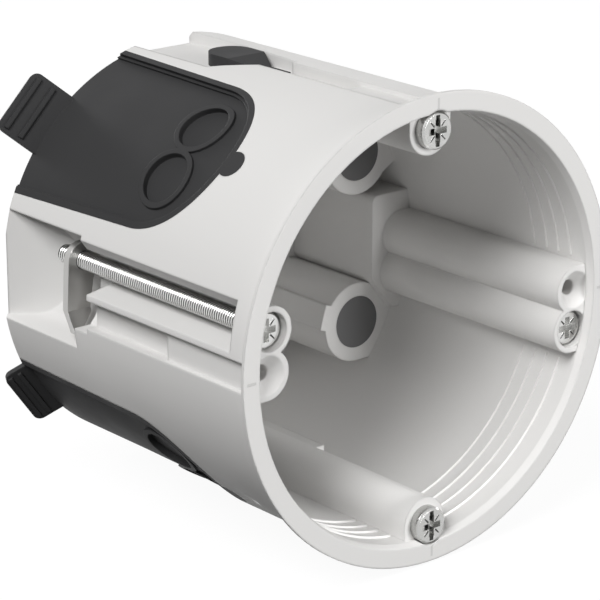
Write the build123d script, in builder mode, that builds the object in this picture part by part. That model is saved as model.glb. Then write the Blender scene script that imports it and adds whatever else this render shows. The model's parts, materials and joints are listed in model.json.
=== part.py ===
from build123d import *
import math
import os

os.makedirs("parts", exist_ok=True)

# Frame: origin at the centre of the rim's front face, +Y into the wall, +Z up, +X to the right.
# Angles are seen from the front, counted from +X towards +Z.

# Shell of the box; every depth below is counted from the outside of its body
body_radius = 33.5
body_wall = 1.3
rim_overhang = 2.0
rim_edge = 0.5
flare_length = 1.9
mouth_depth = 0.9
mouth_slope = 1.2
box_depth = 62.0
back_wall = 1.6
back_edge_bevel = 0.9
spare = 1.0

# Screws that hold a wiring device, one above and one below
screw_inset = 3.5
device_angles = {"top": 90, "bottom": 270}
device_boss_radius = 3.9
device_boss_face = 1.75
device_head_radius = 2.8
device_head_height = 1.6
device_screw_radius = 1.6
device_screw_length = 15.0
device_hole_spare = 1.2

# Pilot holes and claw screws, side by side left and right
side_angles = {"left": 180, "right": 0}
side_boss_radius = 3.75
side_boss_face = 1.4
claw_screw_offset = 6.2
claw_screw_inset = 4.0
pilot_radius = 1.2
pilot_depth = 18.0
pilot_sink_radius = 2.9
claw_screw_radius = 1.45
claw_head_radius = 2.7
claw_head_height = 1.6
claw_screw_end = 50.0
counterbore_depth = 2.6
running_gap = 0.06
seat_gap = 0.05
head_clearance = 0.2

# Recesses in the screw heads
head_edge_bevel = 0.3
cross_length = 3.4
cross_width = 0.95
cross_depth = 1.1
slot_length = 4.6
slot_width = 0.75
slot_depth = 0.6

# Outside channels beside the claw screws, and the recesses beside the pilot holes
channel_start = 5.6
channel_radius = 2.5
ledge_offset = 10.9
ledge_root = 1.2
ledge_slope = 1.6
crest_offset = 3.0
pilot_recess_top = 2.1
pilot_recess_bottom = -2.3
pilot_recess_start = 2.7
pilot_recess_step = 20.7
pilot_recess_front_depth = 0.9
pilot_recess_depth = 2.0

# Pocket that the claw is parked in
pocket_front = 42.5
pocket_depth = 7.9
pocket_ramp_start = 51.5
pocket_back_depth = 1.6
pocket_high = 9.4
pocket_high_inset = 2.0
pocket_mouth_depth = 2.5
pocket_low = -0.8
pocket_foot = -6.2
pocket_corner = 3.0
pocket_foot_slope = 1.0
pocket_foot_depth = 0.4
pocket_round = 2.2
pocket_ramp_round = 5.0
pocket_wall = 1.6
nose_front = 39.2
nose_depth = 5.1
nose_low = -3.0
nose_low_inset = 2.1
nose_low_slope = 2.5
nose_high = 8.4
nose_high_slope = 1.7
nose_high_inset = 2.6
block_low = -7.0
block_high = 12.4
block_slope_start = 6.8
block_slope_width = 4.4
block_round = 1.2

# Claws, bent from sheet
claw_sheet = 1.2
claw_setback = 2.4
claw_outer_reach = 3.3
claw_eye_radius = 2.9
claw_waist_reach = 1.5
claw_waist_drop = 3.2
claw_heel_reach = 0.8
claw_heel_drop = 8.0
claw_bend_drop = 7.4
claw_tip_drop = 10.5
claw_tip_forward = 1.9
claw_tip_inner = 2.4

# Channels above and below
slot_left = -2.7
slot_right = 2.0
slot_start = 3.4
slot_front_depth = 0.9
slot_depth = 2.6
slot_step = 19.0
wide_left = -7.5
wide_right = 3.9
wide_taper = 36.5
wide_shoulder = 34.4
wide_shoulder_right = 2.9
wide_start = 43.0
wide_depth = 2.2
wide_wall = 1.5

# Soft plugs in those channels
plug_half_width = 3.6
plug_back = 50.0
plug_height = 2.0
plug_tail_height = 0.8
plug_tail_half_width = 1.3
plug_tail_end = 34.0
plug_slope_foot = 38.4

# Soft entry panels, upper left and lower left, each with the angle and the length of its pull tab
panel_places = {"upper": (131.3, 135.6, 7.4), "lower": (228.7, 216.0, 4.8)}
panel_radius = 13.4
panel_centre_depth = 33.1
panel_back_half_width = 14.3
panel_thickness = 1.0
panel_depth = 2.1
panel_lip = 1.0
panel_step_width = 0.5
panel_step_height = 0.45
ring_place = 30.8
ring_offset = 4.75
ring_outer = 4.9
ring_inner = 4.0
ring_height = 0.45
ring_hollow = 0.5
front_tab_radius = 2.2
front_tab_reach = 2.9

# Pull tabs at the back of the panels
tab_width = 10.6
tab_thickness = 1.0
tab_lean = 60.0
tab_root_depth = 1.8
tab_corner = 1.3
tab_rib_places = (0.18, 0.53)
tab_rib_width = 0.7
tab_rib_height = 0.4

# Entry tubes at the back right with their soft seals; the sign is that of local Y seen from the right
tube_sides = {"upper": -1, "lower": 1}
tube_front = 42.5
tube_inset = 11.3
tube_offset = 14.0
tube_radius = 6.6
fill_start = 2.4
fill_start_height = 5.4
fill_end_inset = 3.7
fill_end_height = 2.6
rail_width = 4.2
rail_height = 0.8
rail_turn = 17.0
seal_radius = 4.3
seal_thickness = 1.6

rim_radius = body_radius + rim_overhang
opening_radius = body_radius - mouth_depth
inner_radius = body_radius - body_wall
inner_end = box_depth - back_wall
past_back = box_depth + spare
screw_axis = body_radius - screw_inset
claw_axis = body_radius - claw_screw_inset
pocket_floor = body_radius - pocket_depth
slot_floor = body_radius - slot_depth
wide_floor = body_radius - wide_depth
panel_inner = body_radius - panel_depth
panel_field = panel_inner + panel_thickness
tube_x = body_radius - tube_inset
tab_root_radius = body_radius - tab_root_depth


def facing(angle, depth):
    """Plane across the box; local X points outward at the angle, local Y clockwise seen from the front."""
    turn = math.radians(angle)
    return Plane(origin=(0, depth, 0), x_dir=(math.cos(turn), 0, math.sin(turn)), z_dir=(0, 1, 0))


def tangent(angle, radius):
    """Plane facing outward at the angle; local X goes clockwise round the box, local Y into the wall."""
    across = facing(angle, 0)
    return Plane(origin=across.x_dir * radius, x_dir=across.y_dir, z_dir=across.x_dir)


def lengthwise(angle):
    """Plane through the box's axis; local X points outward at the angle, local Y into the wall."""
    across = facing(angle, 0)
    return Plane(origin=(0, 0, 0), x_dir=across.x_dir, z_dir=-across.y_dir)


def panel_outline(inset):
    """Arched outline of an entry panel on its tangent plane, open past the back of the box."""
    arch = panel_radius - inset
    side = panel_back_half_width - inset
    with BuildSketch() as outline:
        with BuildLine():
            CenterArc((0, panel_centre_depth), arch, 180, 180)
            Polyline(
                (arch, panel_centre_depth), (side, box_depth), (side, past_back),
                (-side, past_back), (-side, box_depth), (-arch, panel_centre_depth),
            )
        make_face()
    return outline.sketch


def two_discs(radius):
    """Two round discs side by side on an entry panel's tangent plane."""
    with BuildSketch() as discs:
        with Locations((ring_offset, ring_place), (-ring_offset, ring_place)):
            Circle(radius)
    return discs.sketch


def curved_layer(outline, angle, floor, top):
    """An outline on the tangent plane, kept between two radii of the box."""
    with BuildPart() as layer:
        with BuildSketch(tangent(angle, 0)):
            add(outline)
        extrude(amount=rim_radius)
        with BuildSketch(facing(angle, 0)):
            Circle(top)
            Circle(floor, mode=Mode.SUBTRACT)
        extrude(amount=past_back, mode=Mode.INTERSECT)
    return layer.part


def claw_pocket(angle):
    """Room for a parked claw behind the channels: deep at the claw, with a ramp up to the back edge."""
    mouth = body_radius - pocket_mouth_depth
    back_floor = body_radius - pocket_back_depth
    with BuildPart() as pocket:
        with BuildSketch(facing(angle, pocket_front)) as room:
            with BuildLine():
                Polyline(
                    (rim_radius, ledge_offset), (mouth, ledge_offset),
                    (pocket_floor + pocket_high_inset, pocket_high), (pocket_floor, claw_screw_offset),
                    (pocket_floor, pocket_low), (pocket_floor + pocket_corner, pocket_foot + pocket_foot_slope),
                    (body_radius - pocket_foot_depth, pocket_foot), (rim_radius, pocket_foot), close=True,
                )
            make_face()
            deep = room.vertices().sort_by(Axis.X)[:4]
            fillet(deep, pocket_round)
        extrude(amount=past_back - pocket_front)
        with BuildSketch(lengthwise(angle)) as ramp:
            with BuildLine():
                Polyline(
                    (rim_radius, pocket_front), (pocket_floor, pocket_front),
                    (pocket_floor, pocket_ramp_start), (back_floor, box_depth),
                    (back_floor, past_back), (rim_radius, past_back), close=True,
                )
            make_face()
            foot = ramp.vertices().sort_by(Axis.X)[:2].sort_by(Axis.Y)[-1]
            fillet(foot, pocket_ramp_round)
        extrude(amount=block_high, both=True, mode=Mode.INTERSECT)
    return pocket.part


# Inner forms: bosses, claw blocks, channel pads and entry tubes, cut off inside the wall
with BuildPart() as inner_forms:
    for angle in side_angles.values():
        with BuildSketch(facing(angle, side_boss_face)):
            with Locations((screw_axis, 0), (claw_axis, claw_screw_offset)):
                Circle(side_boss_radius)
            with Locations((body_radius, claw_screw_offset / 2)):
                Rectangle(2 * (body_radius - screw_axis), claw_screw_offset + 2 * side_boss_radius)
        extrude(amount=pocket_front - side_boss_face)
        block_inner = pocket_floor - pocket_wall
        with BuildSketch(facing(angle, pocket_front - pocket_wall)) as block:
            with BuildLine():
                Polyline(
                    (body_radius, block_low), (block_inner, block_low), (block_inner, block_slope_start),
                    (block_inner + block_slope_width, block_high), (body_radius, block_high), close=True,
                )
            make_face()
            fillet(block.vertices().sort_by(Axis.X)[:3], block_round)
        extrude(amount=inner_end - pocket_front + pocket_wall)
    for angle in device_angles.values():
        with BuildSketch(facing(angle, device_boss_face)):
            with Locations((screw_axis, 0)):
                Circle(device_boss_radius)
            with Locations((body_radius, 0)):
                Rectangle(2 * (body_radius - screw_axis), 2 * device_boss_radius)
        extrude(amount=inner_end - device_boss_face)
        with BuildSketch(facing(angle, wide_taper - wide_wall)):
            with Locations((body_radius, (wide_left + wide_right) / 2)):
                Rectangle(2 * (body_radius - wide_floor + wide_wall), wide_right - wide_left + 2 * wide_wall)
        extrude(amount=inner_end - wide_taper + wide_wall)
    for sign in tube_sides.values():
        with BuildSketch(facing(0, tube_front)):
            with Locations((tube_x, sign * tube_offset)):
                Circle(tube_radius)
            with BuildLine():
                Polyline(
                    (tube_x, sign * tube_offset),
                    (tube_x + fill_start, sign * (tube_offset - fill_start_height)),
                    (body_radius - fill_end_inset, sign * (tube_offset - fill_end_height)),
                    (body_radius, sign * (tube_offset - fill_end_height)),
                    (body_radius, sign * (tube_offset + tube_radius)),
                    (tube_x, sign * (tube_offset + tube_radius)), close=True,
                )
            make_face()
            rail_reach = tube_radius + rail_height
            with Locations((tube_x, sign * tube_offset)):
                with Locations(Rotation(0, 0, sign * rail_turn)):
                    with Locations((-rail_reach / 2, 0)):
                        Rectangle(rail_reach, rail_width)
        extrude(amount=inner_end - tube_front)
    with BuildSketch(facing(0, 0)):
        Circle((inner_radius + body_radius) / 2)
    extrude(amount=inner_end, mode=Mode.INTERSECT)

# Outer form of the body with its bevelled back edge
with BuildPart() as body_form:
    with BuildSketch(facing(0, 0)):
        Circle(body_radius)
    extrude(amount=box_depth)
    chamfer(body_form.faces().sort_by(Axis.Y)[-1].edges(), back_edge_bevel)

claw_pockets = [claw_pocket(angle) for angle in side_angles.values()]
window_apex = panel_centre_depth - panel_radius
with BuildSketch() as window_outline:
    add(panel_outline(0))
    with Locations((0, window_apex - front_tab_reach + front_tab_radius)):
        Circle(front_tab_radius)
windows = {
    place: curved_layer(window_outline.sketch, angle, panel_inner, rim_radius)
    for place, (angle, _, _) in panel_places.items()
}

# Housing: one moulding, the shell with its inner forms, then the outside recesses and the holes
with BuildPart() as housing:
    with BuildSketch(Plane.XY):
        with BuildLine():
            Polyline(
                (0, 0), (rim_radius, 0), (rim_radius, rim_edge),
                (body_radius, rim_edge + flare_length), (0, rim_edge + flare_length), close=True,
            )
        make_face()
    revolve(axis=Axis.Y)
    add(body_form.part)
    with BuildSketch(Plane.XY):
        with BuildLine():
            Polyline(
                (0, 0), (opening_radius, 0), (inner_radius, mouth_slope),
                (inner_radius, inner_end), (0, inner_end), close=True,
            )
        make_face()
    revolve(axis=Axis.Y, mode=Mode.SUBTRACT)
    add(inner_forms.part)

    # Channels of the claw screws, recesses beside the pilot holes, pockets of the claws
    for angle in side_angles.values():
        with BuildSketch(facing(angle, channel_start)):
            with Locations((claw_axis, claw_screw_offset)):
                Circle(channel_radius)
            with BuildLine():
                Polyline(
                    (claw_axis, claw_screw_offset + channel_radius),
                    (body_radius - ledge_root - ledge_slope, claw_screw_offset + channel_radius),
                    (body_radius - ledge_root, ledge_offset), (rim_radius, ledge_offset),
                    (rim_radius, crest_offset), (body_radius, crest_offset),
                    (claw_axis, claw_screw_offset - channel_radius), close=True,
                )
            make_face()
        extrude(amount=pocket_front - channel_start, mode=Mode.SUBTRACT)
        recess_steps = (pilot_recess_start, pilot_recess_front_depth), (pilot_recess_step, pilot_recess_depth)
        for start, depth in recess_steps:
            floor = body_radius - depth
            with BuildSketch(facing(angle, start)):
                with Locations(((floor + rim_radius) / 2, (pilot_recess_top + pilot_recess_bottom) / 2)):
                    Rectangle(rim_radius - floor, pilot_recess_top - pilot_recess_bottom)
            extrude(amount=pocket_front - start, mode=Mode.SUBTRACT)
        nose_floor = body_radius - nose_depth
        with BuildSketch(facing(angle, nose_front)):
            with BuildLine():
                Polyline(
                    (rim_radius, nose_low), (nose_floor + nose_low_inset, nose_low),
                    (nose_floor, nose_low + nose_low_slope), (nose_floor, nose_high - nose_high_slope),
                    (nose_floor + nose_high_inset, nose_high), (rim_radius, nose_high), close=True,
                )
            make_face()
        extrude(amount=pocket_front - nose_front, mode=Mode.SUBTRACT)
    for pocket in claw_pockets:
        add(pocket, mode=Mode.SUBTRACT)

    # Claw screw seats and pilot holes, cut from the side bosses' faces
    for angle in side_angles.values():
        with BuildSketch(facing(angle, side_boss_face)):
            with Locations((claw_axis, claw_screw_offset)):
                Circle(claw_head_radius + head_clearance)
        extrude(amount=counterbore_depth, mode=Mode.SUBTRACT)
        with BuildSketch(facing(angle, side_boss_face)):
            with Locations((claw_axis, claw_screw_offset)):
                Circle(claw_screw_radius + running_gap)
        extrude(amount=channel_start - side_boss_face, mode=Mode.SUBTRACT)
        with BuildSketch(facing(angle, side_boss_face)):
            with Locations((screw_axis, 0)):
                Circle(pilot_radius)
        extrude(amount=pilot_depth, mode=Mode.SUBTRACT)
        with BuildSketch(facing(angle, side_boss_face)):
            with Locations((screw_axis, 0)):
                Circle(pilot_sink_radius)
        extrude(amount=pilot_sink_radius - pilot_radius, taper=45, mode=Mode.SUBTRACT)

    # Device screw holes with room for the heads beside the rim, and the channels outside them
    for angle in device_angles.values():
        with BuildSketch(facing(angle, 0)):
            with Locations((screw_axis, 0)):
                Circle(device_head_radius + head_clearance)
        extrude(amount=device_boss_face, mode=Mode.SUBTRACT)
        with BuildSketch(facing(angle, device_boss_face)):
            with Locations((screw_axis, 0)):
                Circle(device_screw_radius + running_gap)
        extrude(amount=device_screw_length - device_head_height + device_hole_spare, mode=Mode.SUBTRACT)
        slot_steps = (slot_start, slot_step, slot_front_depth), (slot_step, wide_taper, slot_depth)
        for start, end, depth in slot_steps:
            floor = body_radius - depth
            with BuildSketch(tangent(angle, floor)):
                with Locations(((slot_left + slot_right) / 2, (start + end) / 2)):
                    Rectangle(slot_right - slot_left, end - start)
            extrude(amount=rim_radius - floor, mode=Mode.SUBTRACT)
        with BuildSketch(tangent(angle, wide_floor)):
            with BuildLine():
                Polyline(
                    (slot_left, wide_taper), (slot_left, wide_shoulder), (wide_shoulder_right, wide_shoulder),
                    (wide_right, wide_start), (wide_right, past_back), (wide_left, past_back),
                    (wide_left, wide_start), close=True,
                )
            make_face()
        extrude(amount=rim_radius - wide_floor, mode=Mode.SUBTRACT)

    # Windows of the entry panels, bores of the entry tubes
    for window in windows.values():
        add(window, mode=Mode.SUBTRACT)
    for sign in tube_sides.values():
        with BuildSketch(facing(0, tube_front)):
            with Locations((tube_x, sign * tube_offset)):
                Circle(seal_radius)
        extrude(amount=box_depth - tube_front, mode=Mode.SUBTRACT)
housing.part.label = "housing"
export_step(housing.part, "parts/housing.step")

# Soft entry panels: arched skin with a stepped raised edge, two raised tear-out rings and a pull tab
step_outline = panel_outline(panel_lip)
field_outline = panel_outline(panel_lip + panel_step_width)
bead_outline = two_discs(ring_outer)
hollow_outline = two_discs(ring_inner)
for place, (angle, tab_angle, tab_length) in panel_places.items():
    across = facing(tab_angle, 0)
    lean = math.radians(tab_lean)
    along = across.x_dir * math.sin(lean) + Vector(0, math.cos(lean), 0)
    root = across.x_dir * tab_root_radius + Vector(0, box_depth - tab_thickness / 2, 0)
    tab_plane = Plane(origin=root, x_dir=across.y_dir, z_dir=across.y_dir.cross(along))
    with BuildPart() as pull_tab:
        with BuildSketch(tab_plane):
            with Locations((0, tab_length / 2 - tab_corner)):
                RectangleRounded(tab_width, tab_length + 2 * tab_corner, tab_corner)
        extrude(amount=tab_thickness / 2, both=True)
        for share in tab_rib_places:
            with BuildSketch(tab_plane):
                with Locations((0, tab_length * (1 - share))):
                    Rectangle(tab_width - tab_corner, tab_rib_width)
            extrude(amount=tab_thickness / 2 + tab_rib_height, both=True)
        with BuildSketch(facing(angle, 0)):
            Circle(panel_inner)
        extrude(amount=2 * box_depth, mode=Mode.SUBTRACT)
    step_cut = curved_layer(step_outline, angle, panel_field + panel_step_height, rim_radius)
    field_cut = curved_layer(field_outline, angle, panel_field, rim_radius)
    beads = curved_layer(bead_outline, angle, panel_inner, panel_field + ring_height)
    hollows = curved_layer(hollow_outline, angle, panel_field - ring_hollow, rim_radius)
    with BuildPart() as panel:
        add(windows[place])
        add(body_form.part, mode=Mode.INTERSECT)
        add(step_cut, mode=Mode.SUBTRACT)
        add(field_cut, mode=Mode.SUBTRACT)
        add(beads)
        add(hollows, mode=Mode.SUBTRACT)
        add(pull_tab.part)
    panel.part.label = f"entry_panel_{place}"
    export_step(panel.part, f"parts/entry_panel_{place}.step")

# Soft seals that close the entry tubes
for place, sign in tube_sides.items():
    with BuildPart() as tube_seal:
        with BuildSketch(facing(0, tube_front)):
            with Locations((tube_x, sign * tube_offset)):
                Circle(seal_radius)
        extrude(amount=seal_thickness)
    tube_seal.part.label = f"tube_seal_{place}"
    export_step(tube_seal.part, f"parts/tube_seal_{place}.step")

# Soft plugs in the channels above and below: a round nose, sloping down to a narrow tail
for place, angle in device_angles.items():
    nose_centre = plug_back - plug_half_width
    with BuildPart() as plug:
        with BuildSketch(tangent(angle, wide_floor)):
            with Locations((0, nose_centre)):
                Circle(plug_half_width)
            with BuildLine():
                Polyline(
                    (plug_half_width, nose_centre), (plug_half_width, wide_start),
                    (plug_tail_half_width, plug_slope_foot), (plug_tail_half_width, plug_tail_end),
                    (-plug_tail_half_width, plug_tail_end), (-plug_tail_half_width, plug_slope_foot),
                    (-plug_half_width, wide_start), (-plug_half_width, nose_centre), close=True,
                )
            make_face()
        extrude(amount=plug_height)
        with BuildSketch(lengthwise(angle)):
            with BuildLine():
                Polyline(
                    (wide_floor + plug_height, wide_start), (wide_floor + plug_tail_height, plug_slope_foot),
                    (wide_floor + plug_tail_height, plug_tail_end - spare), (rim_radius, plug_tail_end - spare),
                    (rim_radius, wide_start), close=True,
                )
            make_face()
        extrude(amount=2 * plug_half_width, both=True, mode=Mode.SUBTRACT)
    plug.part.label = f"soft_plug_{place}"
    export_step(plug.part, f"parts/soft_plug_{place}.step")

# Claws: sheet with a round eye, the lower end bent forward and tapered so that it bites into the board
for side, angle in side_angles.items():
    claw_front = pocket_front + claw_setback
    claw_back = claw_front + claw_sheet
    bend = claw_screw_offset - claw_bend_drop
    tip = claw_screw_offset - claw_tip_drop
    eye_top = claw_screw_offset + claw_eye_radius + spare
    with BuildPart() as claw:
        with BuildSketch(tangent(angle, 0)):
            with BuildLine():
                Polyline(
                    (eye_top, claw_front), (bend, claw_front), (tip, claw_front - claw_tip_forward),
                    (tip, claw_back - claw_tip_forward), (bend, claw_back), (eye_top, claw_back), close=True,
                )
            make_face()
        extrude(amount=body_radius)
        with BuildSketch(facing(angle, 0)):
            with Locations((claw_axis, claw_screw_offset)):
                Circle(claw_eye_radius)
            with BuildLine():
                Polyline(
                    (claw_axis + claw_eye_radius, claw_screw_offset), (claw_axis + claw_outer_reach, bend),
                    (claw_axis + claw_outer_reach, tip), (claw_axis + claw_tip_inner, tip),
                    (claw_axis - claw_heel_reach, claw_screw_offset - claw_heel_drop),
                    (claw_axis - claw_waist_reach, claw_screw_offset - claw_waist_drop),
                    (claw_axis - claw_eye_radius, claw_screw_offset), close=True,
                )
            make_face()
            with Locations((claw_axis, claw_screw_offset)):
                Circle(claw_screw_radius + running_gap, mode=Mode.SUBTRACT)
        extrude(amount=box_depth, mode=Mode.INTERSECT)
    claw.part.label = f"claw_{side}"
    export_step(claw.part, f"parts/claw_{side}.step")


def driven_screw(name, place, head, shank, slotted):
    """Screw with a flat round head; place is a plane on its axis at the seat, facing its tip."""
    head_radius, head_height = head
    shank_radius, shank_end = shank
    head_face = place.offset(-seat_gap - head_height)
    with BuildPart() as screw:
        with BuildSketch(head_face):
            Circle(head_radius)
        extrude(amount=head_height)
        chamfer(screw.faces().sort_by(Axis.Y)[0].edges(), head_edge_bevel)
        with BuildSketch(place.offset(-seat_gap)):
            Circle(shank_radius)
        extrude(amount=shank_end + seat_gap)
        with BuildSketch(head_face):
            Rectangle(cross_length, cross_width)
            Rectangle(cross_width, cross_length)
        extrude(amount=cross_depth, mode=Mode.SUBTRACT)
        if slotted:
            with BuildSketch(head_face):
                Rectangle(slot_length, slot_width)
            extrude(amount=slot_depth, mode=Mode.SUBTRACT)
    screw.part.label = name
    export_step(screw.part, f"parts/{name}.step")


# Claw screws stand in their counterbores, device screws on the upper and lower bosses
for side, angle in side_angles.items():
    seat = facing(angle, side_boss_face + counterbore_depth)
    seat.origin = seat.from_local_coords(Vector(claw_axis, claw_screw_offset, 0))
    shank_length = claw_screw_end - side_boss_face - counterbore_depth
    driven_screw(
        f"claw_screw_{side}", seat, (claw_head_radius, claw_head_height),
        (claw_screw_radius, shank_length), False,
    )
for place, angle in device_angles.items():
    seat = facing(angle, device_boss_face)
    seat.origin = seat.from_local_coords(Vector(screw_axis, 0, 0))
    driven_screw(
        f"device_screw_{place}", seat, (device_head_radius, device_head_height),
        (device_screw_radius, device_screw_length - device_head_height), True,
    )
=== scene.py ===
import json
import math

import bmesh
import bpy
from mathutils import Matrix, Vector


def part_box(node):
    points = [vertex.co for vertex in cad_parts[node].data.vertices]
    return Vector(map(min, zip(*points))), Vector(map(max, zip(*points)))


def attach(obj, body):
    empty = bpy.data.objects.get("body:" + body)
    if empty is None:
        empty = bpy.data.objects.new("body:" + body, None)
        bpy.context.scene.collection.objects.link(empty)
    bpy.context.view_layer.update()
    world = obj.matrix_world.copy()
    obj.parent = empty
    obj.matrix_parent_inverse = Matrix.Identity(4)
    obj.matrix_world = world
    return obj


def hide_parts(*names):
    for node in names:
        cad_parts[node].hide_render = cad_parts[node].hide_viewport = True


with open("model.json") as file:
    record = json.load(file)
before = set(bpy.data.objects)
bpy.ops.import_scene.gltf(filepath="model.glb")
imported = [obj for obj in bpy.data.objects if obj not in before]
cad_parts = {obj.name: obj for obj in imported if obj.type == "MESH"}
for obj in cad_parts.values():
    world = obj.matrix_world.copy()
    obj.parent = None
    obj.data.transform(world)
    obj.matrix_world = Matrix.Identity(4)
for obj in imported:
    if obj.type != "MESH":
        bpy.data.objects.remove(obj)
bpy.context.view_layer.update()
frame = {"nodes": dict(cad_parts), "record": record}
scene = bpy.context.scene
MM = 0.001

# Sizes taken from the frame, in metres
rim_low, rim_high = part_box("housing")
rim_radius = rim_high.x
box_depth = rim_high.y
inner_radius = rim_radius - 3.3 * MM

# Grain and gloss of the materials: how fine the noise is, and how deep the grain
grain_depth = 0.02 * MM
grain_detail = 4.0
gloss_detail = 3.0
gloss_from = (0.3, 0.7)
plastic_grain_scale = 2600
plastic_gloss_scale = 90
metal_grain_scale = 1400
metal_gloss_scale = 400
metal_grain = 0.12
metal_edge = 0.1 * MM

# Four short radial ticks on the rim's face, above, below, left and right
tick_radius = rim_radius - 1.5 * MM
tick_width = 0.40 * MM
tick_length = 1.6 * MM
tick_reach = 0.1 * MM
tick_strength = 0.8
tick_height = 0.15 * MM
# Painted shade: the ticks' darker colour stands in for the shading of their low relief
tick_painted_shade = (0.58, 0.574, 0.565, 1)

# Ring lines inside the mouth, in four runs between the bosses, in degrees
ring_depths = (4.3 * MM, 6.9 * MM, 9.4 * MM, 12.0 * MM)
ring_runs = ((8, 82), (98, 159), (188, 262), (278, 339))
ring_proud = 0.32 * MM
ring_sunk = 0.3 * MM
ring_width = 0.40 * MM
ring_steps = 48

# Cut threads, and the ticks between the arms of the cross in each screw's head
head_height = 1.6 * MM
thread_pitch = 0.5 * MM
thread_sides = 20
thread_tip_slope = 0.8
seat_margin = 0.02 * MM
tip_inset = 0.01 * MM
mark_start = 0.95 * MM
mark_end = 2.0 * MM
mark_width = 0.28 * MM
mark_taper = 0.6
mark_height = 0.02 * MM
# Material slots of a screw: its own zinc, and a near-black painted shade for the thread roots and the
# head's ticks
bright_face = 0
painted_shade_face = 1


def new_material(name):
    material = bpy.data.materials.new(name)
    material.use_nodes = True
    shader = material.node_tree.nodes["Principled BSDF"]
    return material, material.node_tree, shader


def calculate(tree, operation, first, second=None):
    """Adds a math node; each value is a number or another node's output."""
    node = tree.nodes.new("ShaderNodeMath")
    node.operation = operation
    for socket, value in zip(node.inputs, (first, second)):
        if isinstance(value, (int, float)):
            socket.default_value = value
        elif value is not None:
            tree.links.new(value, socket)
    return node.outputs[0]


def add_grain(tree, shader, scale, strength, edge_radius):
    """Fine moulded or rolled grain as a bump over the whole surface, on edges that look rounded."""
    coordinates = tree.nodes.new("ShaderNodeTexCoord")
    edges = tree.nodes.new("ShaderNodeBevel")
    edges.inputs["Radius"].default_value = edge_radius
    noise = tree.nodes.new("ShaderNodeTexNoise")
    noise.inputs["Scale"].default_value = scale
    noise.inputs["Detail"].default_value = grain_detail
    bump = tree.nodes.new("ShaderNodeBump")
    bump.inputs["Strength"].default_value = strength
    bump.inputs["Distance"].default_value = grain_depth
    tree.links.new(coordinates.outputs["Object"], noise.inputs["Vector"])
    tree.links.new(noise.outputs["Fac"], bump.inputs["Height"])
    tree.links.new(edges.outputs["Normal"], bump.inputs["Normal"])
    tree.links.new(bump.outputs["Normal"], shader.inputs["Normal"])
    return coordinates, bump


def add_roughness_variation(tree, shader, coordinates, scale, roughness):
    """Soft patches of gloss, as handling and the mould leave them."""
    noise = tree.nodes.new("ShaderNodeTexNoise")
    noise.inputs["Scale"].default_value = scale
    noise.inputs["Detail"].default_value = gloss_detail
    spread = tree.nodes.new("ShaderNodeMapRange")
    spread.inputs["From Min"].default_value, spread.inputs["From Max"].default_value = gloss_from
    spread.inputs["To Min"].default_value, spread.inputs["To Max"].default_value = roughness
    tree.links.new(coordinates.outputs["Object"], noise.inputs["Vector"])
    tree.links.new(noise.outputs["Fac"], spread.inputs["Value"])
    tree.links.new(spread.outputs["Result"], shader.inputs["Roughness"])


def plastic(name, colour, roughness, grain, edge_radius, specular):
    """Returns the material with its coordinates and its bump, which the rim ticks build on."""
    material, tree, shader = new_material(name)
    shader.inputs["Base Color"].default_value = (*colour, 1)
    shader.inputs["Specular IOR Level"].default_value = specular
    coordinates, bump = add_grain(tree, shader, plastic_grain_scale, grain, edge_radius)
    add_roughness_variation(tree, shader, coordinates, plastic_gloss_scale, roughness)
    return material, coordinates, bump


def metal(name, colour, roughness):
    material, tree, shader = new_material(name)
    shader.inputs["Base Color"].default_value = (*colour, 1)
    shader.inputs["Metallic"].default_value = 1.0
    coordinates, _ = add_grain(tree, shader, metal_grain_scale, metal_grain, metal_edge)
    add_roughness_variation(tree, shader, coordinates, metal_gloss_scale, roughness)
    return material


def add_rim_ticks(material, coordinates, bump):
    """Marks the ticks by a mask on the rim's face, as a second bump and a slightly darker painted shade
    that stands in for the shading of their raised edges.
    """
    tree = material.node_tree
    shader = tree.nodes["Principled BSDF"]
    place = tree.nodes.new("ShaderNodeSeparateXYZ")
    tree.links.new(coordinates.outputs["Object"], place.inputs["Vector"])
    across = calculate(tree, "ABSOLUTE", place.outputs["X"])
    upright = calculate(tree, "ABSOLUTE", place.outputs["Z"])
    outward = calculate(tree, "MAXIMUM", across, upright)
    sideways = calculate(tree, "MINIMUM", across, upright)
    from_middle = calculate(tree, "ABSOLUTE", calculate(tree, "SUBTRACT", outward, tick_radius))
    in_length = calculate(tree, "LESS_THAN", from_middle, tick_length / 2)
    in_width = calculate(tree, "LESS_THAN", sideways, tick_width / 2)
    in_front = calculate(tree, "LESS_THAN", place.outputs["Y"], tick_reach)
    tick = calculate(tree, "MULTIPLY", calculate(tree, "MULTIPLY", in_length, in_width), in_front)

    raised = tree.nodes.new("ShaderNodeBump")
    raised.inputs["Strength"].default_value = tick_strength
    raised.inputs["Distance"].default_value = tick_height
    tree.links.new(tick, raised.inputs["Height"])
    tree.links.new(bump.outputs["Normal"], raised.inputs["Normal"])
    tree.links.new(raised.outputs["Normal"], shader.inputs["Normal"])

    # Painted shade: the tick mask darkens the colour where the relief would be shaded
    shade = tree.nodes.new("ShaderNodeMix")
    shade.data_type = "RGBA"
    shade.inputs["A"].default_value = shader.inputs["Base Color"].default_value
    shade.inputs["B"].default_value = tick_painted_shade
    tree.links.new(tick, shade.inputs["Factor"])
    tree.links.new(shade.outputs["Result"], shader.inputs["Base Color"])


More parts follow.
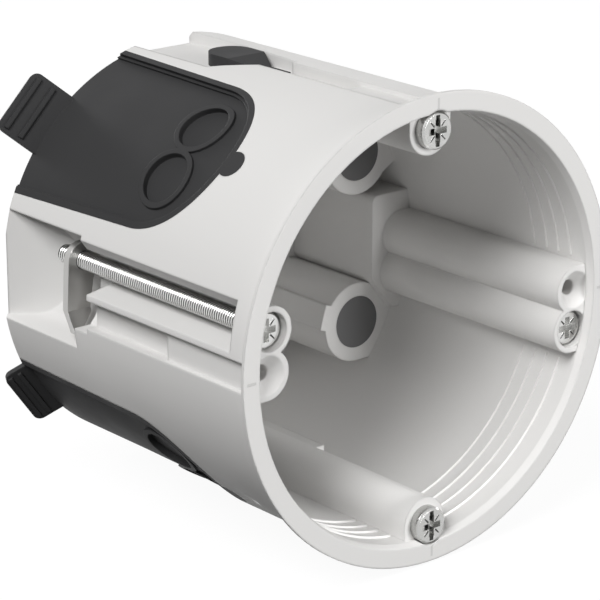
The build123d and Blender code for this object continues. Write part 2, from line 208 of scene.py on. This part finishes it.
grey_plastic, grey_coordinates, grey_bump = plastic(
    "grey_plastic", (0.70, 0.693, 0.682), (0.52, 0.64), grain=0.10, edge_radius=0.45 * MM, specular=0.16,
)
add_rim_ticks(grey_plastic, grey_coordinates, grey_bump)
# Painted highlight: a lighter grey than the body, standing in for the sheen on the ring lines' sharp
# edges
painted_sheen_plastic, _, _ = plastic(
    "painted_sheen_plastic", (0.82, 0.813, 0.802), (0.46, 0.58), grain=0.05, edge_radius=0.06 * MM, specular=0.20,
)
black_rubber, _, _ = plastic(
    "black_rubber", (0.040, 0.040, 0.041), (0.50, 0.62), grain=0.30, edge_radius=0.25 * MM, specular=0.05,
)
seal_rubber, _, _ = plastic(
    "seal_rubber", (0.150, 0.150, 0.151), (0.50, 0.62), grain=0.25, edge_radius=0.20 * MM, specular=0.06,
)
zinc_sheet = metal("zinc_sheet", (0.46, 0.455, 0.445), (0.30, 0.42))
zinc_screw = metal("zinc_screw", (0.66, 0.66, 0.65), (0.16, 0.28))
zinc_head = metal("zinc_head", (0.50, 0.50, 0.49), (0.20, 0.32))
# Painted shade: near-black zinc on the thread roots and the head's ticks, standing in for the shade in
# those grooves
painted_shade_zinc = metal("painted_shade_zinc", (0.06, 0.06, 0.058), (0.30, 0.42))
slot_looks = {
    "grey_plastic": grey_plastic,
    "black_rubber": black_rubber,
    "zinc_sheet": zinc_sheet,
    "zinc_screw": zinc_screw,
}
node_looks = {
    part["node"]: slot_looks[part["material_slot"]] for part in frame["record"]["subparts"]
}
node_looks["tube_seal_upper"] = node_looks["tube_seal_lower"] = seal_rubber
for node, obj in frame["nodes"].items():
    obj.data.materials.clear()
    obj.data.materials.append(node_looks[node])


def piece_from(mesh_maker, name, material, body):
    """Makes an object from a bmesh, and rides it on a body."""
    mesh = bpy.data.meshes.new(name)
    mesh_maker.to_mesh(mesh)
    mesh_maker.free()
    obj = bpy.data.objects.new(name, mesh)
    scene.collection.objects.link(obj)
    mesh.materials.append(material)
    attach(obj, body)
    return obj


def point_around(middle, radius, turn, along):
    """Point at a radius and an angle about an axis through middle that runs along Y."""
    return (middle.x + radius * math.cos(turn), along, middle.z + radius * math.sin(turn))


def ring_lines():
    """Low ridges with a triangular section that follow the inside of the wall."""
    rings = bmesh.new()
    box_axis = Vector((0, 0, 0))
    profile = ((ring_sunk, -ring_width / 2), (-ring_proud, 0), (ring_sunk, ring_width / 2))
    for depth in ring_depths:
        for first, last in ring_runs:
            loops = []
            for step in range(ring_steps + 1):
                turn = math.radians(first + (last - first) * step / ring_steps)
                loops.append([
                    rings.verts.new(point_around(box_axis, inner_radius + out, turn, depth + along))
                    for out, along in profile
                ])
            for here, there in zip(loops, loops[1:]):
                for side in range(len(profile)):
                    other = (side + 1) % len(profile)
                    rings.faces.new((here[side], there[side], there[other], here[other]))
            rings.faces.new(loops[0])
            rings.faces.new(loops[-1])
    bmesh.ops.recalc_face_normals(rings, faces=rings.faces)
    return rings


# The ring lines wear the lighter grey of painted highlight
piece_from(ring_lines(), "ring_lines", painted_sheen_plastic, "box")


def add_drive_ticks(screw, middle, face_y):
    """Four thin wedges on the head's face, halfway between the arms of the cross, painted dark as the
    shade in the head's tick grooves.
    """
    base = Vector((middle.x, 0, middle.z))
    for quarter in range(4):
        turn = math.radians(45 + 90 * quarter)
        outward = Vector((math.cos(turn), 0, math.sin(turn)))
        sideways = Vector((-math.sin(turn), 0, math.cos(turn))) * mark_width / 2
        corners = [
            base + outward * reach + sideways * side
            for reach, side in (
                (mark_start, -1), (mark_end, -mark_taper), (mark_end, mark_taper), (mark_start, 1),
            )
        ]
        front, back = [
            [screw.verts.new(corner + Vector((0, depth, 0))) for corner in corners]
            for depth in (face_y - mark_height, face_y + mark_height)
        ]
        faces = [screw.faces.new(front), screw.faces.new(back)]
        for first in range(4):
            second = (first + 1) % 4
            faces.append(screw.faces.new((front[first], front[second], back[second], back[first])))
        bmesh.ops.recalc_face_normals(screw, faces=faces)
        for face in faces:
            # Painted shade in place of the ticks' grooves
            face.material_index = painted_shade_face


def add_thread(screw, middle, seat, end, crest, root):
    """Helical thread from the seat to the end, with a painted shade on the flanks at its root, and a
    closed tip.
    """
    profile = (root, (root + crest) / 2, crest, (root + crest) / 2)
    rows = round((end - seat) / thread_pitch) * len(profile)
    grid = []
    for row in range(-len(profile), rows + 1):
        line = []
        for side in range(thread_sides + 1):
            turn = 2 * math.pi * side / thread_sides
            along = seat + thread_pitch * (row / len(profile) + side / thread_sides)
            radius = profile[row % len(profile)]
            near_tip = end - along
            if near_tip < crest - root:
                radius = min(radius, root + max(near_tip, 0) * thread_tip_slope)
            along = min(max(along, seat), end)
            line.append(screw.verts.new(point_around(middle, radius, turn, along)))
        grid.append(line)
    for row, (here, there) in enumerate(zip(grid, grid[1:])):
        by_root = row % len(profile) in (0, len(profile) - 1)
        for side in range(thread_sides):
            face = screw.faces.new((here[side], here[side + 1], there[side + 1], there[side]))
            face.smooth = True
            # Faces by the root take the painted shade
            face.material_index = painted_shade_face if by_root else bright_face
    tip = screw.faces.new([
        screw.verts.new(point_around(middle, root, 2 * math.pi * side / thread_sides, end - tip_inset))
        for side in range(thread_sides)
    ])
    bmesh.ops.recalc_face_normals(screw, faces=[tip])


def threaded_screw(node, look, crest, root):
    """Keeps the head of the node's solid, and cuts a thread in place of its plain shank."""
    low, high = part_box(node)
    middle = (low + high) / 2
    seat = low.y + head_height
    screw = bmesh.new()
    screw.from_mesh(frame["nodes"][node].data)
    shank = [face for face in screw.faces if face.calc_center_median().y > seat + seat_margin]
    bmesh.ops.delete(screw, geom=shank, context="FACES")
    for face in screw.faces:
        face.material_index = bright_face
        face.smooth = False
    add_thread(screw, middle, seat, high.y, crest, root)
    add_drive_ticks(screw, middle, low.y)
    piece = piece_from(screw, node + "_threaded", look, node)
    # Second slot: the painted shade of the thread roots and the head's ticks
    piece.data.materials.append(painted_shade_zinc)
    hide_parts(node)


for side in ("left", "right"):
    threaded_screw("claw_screw_" + side, zinc_screw, crest=1.45 * MM, root=1.18 * MM)
for place in ("top", "bottom"):
    threaded_screw("device_screw_" + place, zinc_head, crest=1.6 * MM, root=1.3 * MM)

# Camera at the photograph's angle
camera_data = bpy.data.cameras.new("camera")
camera_data.sensor_width = 36.0
camera_data.lens = 165.81
camera_data.clip_start = 0.01
camera_data.clip_end = 10.0
camera = bpy.data.objects.new("camera", camera_data)
scene.collection.objects.link(camera)
scene.camera = camera
view_azimuth = math.radians(-40.02)
view_elevation = math.radians(18.13)
away = Vector((
    math.sin(view_azimuth) * math.cos(view_elevation),
    -math.cos(view_azimuth) * math.cos(view_elevation),
    math.sin(view_elevation),
))
camera.location = Vector((-0.2570, -0.2758, 0.1283))
camera.rotation_mode = "QUATERNION"
camera.rotation_quaternion = (-away).to_track_quat("-Z", "Y")


def seen_directly(tree):
    """One where the camera sees the surface, or sees it in a mirror or through glass."""
    path = tree.nodes.new("ShaderNodeLightPath")
    seen = calculate(tree, "MAXIMUM", path.outputs["Is Camera Ray"], path.outputs["Is Glossy Ray"])
    return calculate(tree, "MAXIMUM", seen, path.outputs["Is Transmission Ray"])


# Pale floor, white where it is seen, with the object's shadow on it
floor_half = 3.0
floor_z = rim_low.z - 0.4 * MM
floor_glow = 0.94
floor_mesh = bpy.data.meshes.new("floor")
floor_mesh.from_pydata(
    [(-floor_half, -floor_half, floor_z), (floor_half, -floor_half, floor_z),
     (floor_half, floor_half, floor_z), (-floor_half, floor_half, floor_z)],
    [], [(0, 1, 2, 3)],
)
floor = bpy.data.objects.new("floor", floor_mesh)
scene.collection.objects.link(floor)
floor_look, floor_tree, floor_shader = new_material("floor")
floor_shader.inputs["Base Color"].default_value = (0.08, 0.08, 0.08, 1)
floor_shader.inputs["Roughness"].default_value = 0.9
floor_shader.inputs["Specular IOR Level"].default_value = 0.0
floor_shader.inputs["Emission Color"].default_value = (1, 1, 1, 1)
floor_strength = calculate(floor_tree, "MULTIPLY", seen_directly(floor_tree), floor_glow)
floor_tree.links.new(floor_strength, floor_shader.inputs["Emission Strength"])
floor_mesh.materials.append(floor_look)

# World: white where it is seen, and a dim grey as light
world_light = 0.07
world = bpy.data.worlds.new("studio")
scene.world = world
world.use_nodes = True
world_tree = world.node_tree
background = world_tree.nodes["Background"]
background.inputs["Color"].default_value = (1, 1, 1, 1)
world_level = world_tree.nodes.new("ShaderNodeMapRange")
world_level.inputs["To Min"].default_value = world_light
world_level.inputs["To Max"].default_value = 1.0
world_tree.links.new(seen_directly(world_tree), world_level.inputs["Value"])
world_tree.links.new(world_level.outputs["Result"], background.inputs["Strength"])


def soft_lamp(name, place, size, watts):
    """Square soft box that faces the object."""
    lamp_data = bpy.data.lights.new(name, "AREA")
    lamp_data.size = size
    lamp_data.energy = watts
    lamp = bpy.data.objects.new(name, lamp_data)
    scene.collection.objects.link(lamp)
    lamp.location = place
    middle = Vector((0, box_depth / 2, 0))
    lamp.rotation_mode = "QUATERNION"
    lamp.rotation_quaternion = (middle - Vector(place)).to_track_quat("-Z", "Y")
    return lamp


soft_lamp("key", (-0.80, -0.27, 0.85), 0.6, 14.8)
soft_lamp("front", (0.20, -0.70, 0.14), 0.3, 4.3)
soft_lamp("back", (0.08, 1.05, 0.20), 0.34, 4.5)
soft_lamp("right", (1.00, 0.10, 0.20), 0.34, 2.6)
# A weak fill in the mouth of the box, which the camera doesn't see
inside = soft_lamp("inside", (-0.012, 0.002, -0.010), 0.03, 0.0033)
inside.visible_camera = False

scene.view_settings.view_transform = "Standard"
